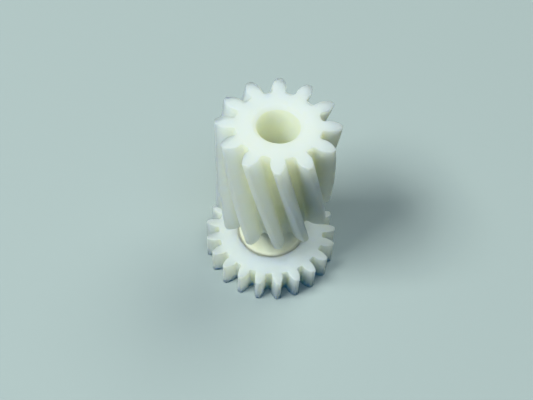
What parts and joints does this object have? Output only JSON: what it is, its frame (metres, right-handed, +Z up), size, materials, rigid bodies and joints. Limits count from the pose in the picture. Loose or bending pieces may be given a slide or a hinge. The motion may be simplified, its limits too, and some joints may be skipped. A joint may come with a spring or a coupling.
{
  "type": "compound gear",
  "caption": "Plastic compound gear: a left-hand helical pinion above a plain neck and a wider straight spur gear, with a chamfered through bore for a shaft.",
  "frame": {"origin": "centre of the spur gear's lower face, on the bore's axis", "axes": "+Z up along the bore, from the spur gear to the pinion; +X through the middle of a helical tooth at the pinion's top face"},
  "size_m": [0.0344, 0.0343, 0.05],
  "materials": {
    "natural_nylon": "natural off-white nylon, satin, slightly see-through at thin edges"
  },
  "bodies": {
    "root": {"helical_pinion": "natural_nylon", "neck_sleeve": "natural_nylon", "spur_gear": "natural_nylon"}
  },
  "joints": []
}
